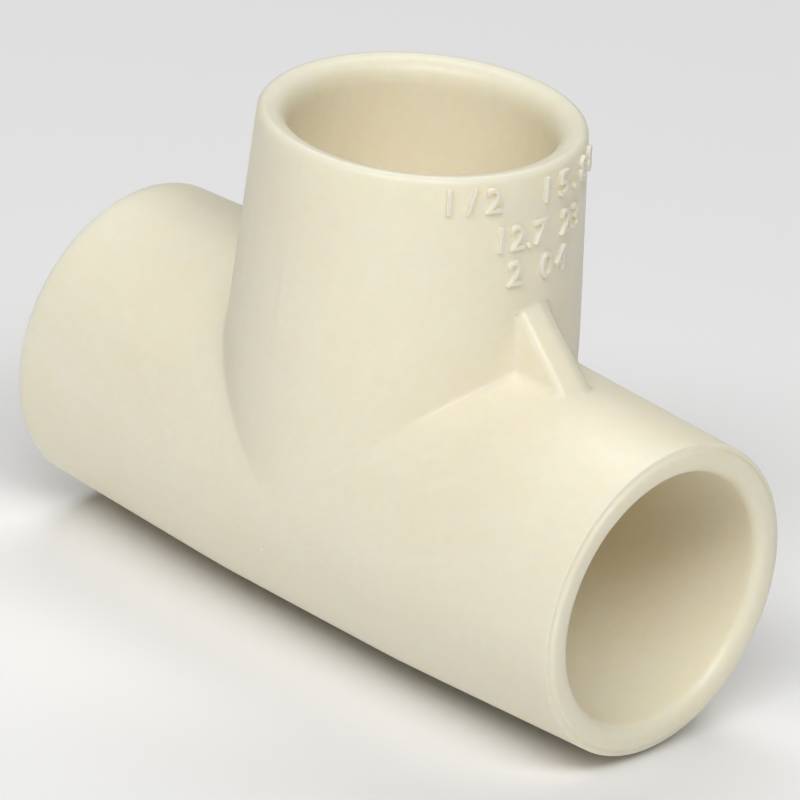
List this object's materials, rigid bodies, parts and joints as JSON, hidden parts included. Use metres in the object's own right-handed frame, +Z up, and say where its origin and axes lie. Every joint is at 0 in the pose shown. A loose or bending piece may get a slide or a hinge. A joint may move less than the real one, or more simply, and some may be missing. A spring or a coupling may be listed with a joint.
{
  "type": "pipe tee fitting",
  "caption": "Equal socket tee in ivory plastic: a straight run with a branch at right angles, drafted limbs, stepped lips, inner tube stops and a small web in the crotch.",
  "frame": {"origin": "on the surface that the run rests on, straight below the point where the run's and the branch's axes cross", "axes": "+X along the run, towards the mouth on the web's side; +Z up, along the branch and out of its mouth"},
  "size_m": [0.046, 0.0212, 0.0334],
  "materials": {
    "ivory_plastic": "satin, as moulded"
  },
  "bodies": {
    "root": {"tee_body": "ivory_plastic"}
  },
  "joints": []
}
